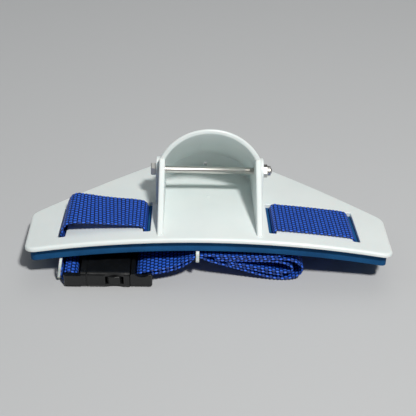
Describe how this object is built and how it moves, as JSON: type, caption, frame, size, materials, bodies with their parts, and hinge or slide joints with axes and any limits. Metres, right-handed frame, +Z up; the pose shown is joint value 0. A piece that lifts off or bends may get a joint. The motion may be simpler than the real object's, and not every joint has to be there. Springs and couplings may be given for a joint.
{
  "type": "rod fighting belt",
  "caption": "Waist plate with a hooded rod-butt cup and cross pin, foam backing, laced webbing belt and a side-release buckle.",
  "frame": {"origin": "under the middle of the bounding box, on the surface the belt lies on", "axes": "+X along the plate, to the right of a person facing the cup's mouth; +Y from the plate's long front edge towards its narrow rear edge; +Z up"},
  "size_m": [0.2496, 0.1304, 0.082],
  "materials": {
    "white_plastic": "satin moulded",
    "blue_foam": "closed-cell foam, matt",
    "blue_webbing": "woven polypropylene",
    "black_plastic": "satin moulded",
    "stainless_steel": "bright",
    "nylon": "natural nylon",
    "white_band": "milky elastic"
  },
  "bodies": {
    "belt": {"gimbal_shell": "white_plastic", "foam_pad": "blue_foam", "belt_strap": "blue_webbing", "strap_hank": "blue_webbing", "plug_strap": "blue_webbing", "socket_loop": "blue_webbing", "buckle_socket": "black_plastic", "buckle_plug": "black_plastic", "hank_tie": "white_band", "keeper_band": "white_band"},
    "cross_pin": {"pin_bolt": "stainless_steel", "pin_nut": "stainless_steel", "nut_insert": "nylon"},
    "front_prong": {"prong_front": "black_plastic"},
    "rear_prong": {"prong_rear": "black_plastic"}
  },
  "joints": [
    {"name": "pin_spin", "type": "hinge", "parent": "belt", "child": "cross_pin", "pos_m": [0, 0.00792, 0.04551], "axis": [1, 0, 0], "continuous": true},
    {"name": "front_prong_press", "type": "hinge", "parent": "belt", "child": "front_prong", "pos_m": [-0.0544, -0.0565, 0.0062], "axis": [0, 0, -1], "range_deg": [0, 10], "stiffness_Nm_per_rad": 0.1},
    {"name": "rear_prong_press", "type": "hinge", "parent": "belt", "child": "rear_prong", "pos_m": [-0.0544, -0.0279, 0.0062], "axis": [0, 0, 1], "range_deg": [0, 10], "stiffness_Nm_per_rad": 0.1}
  ]
}
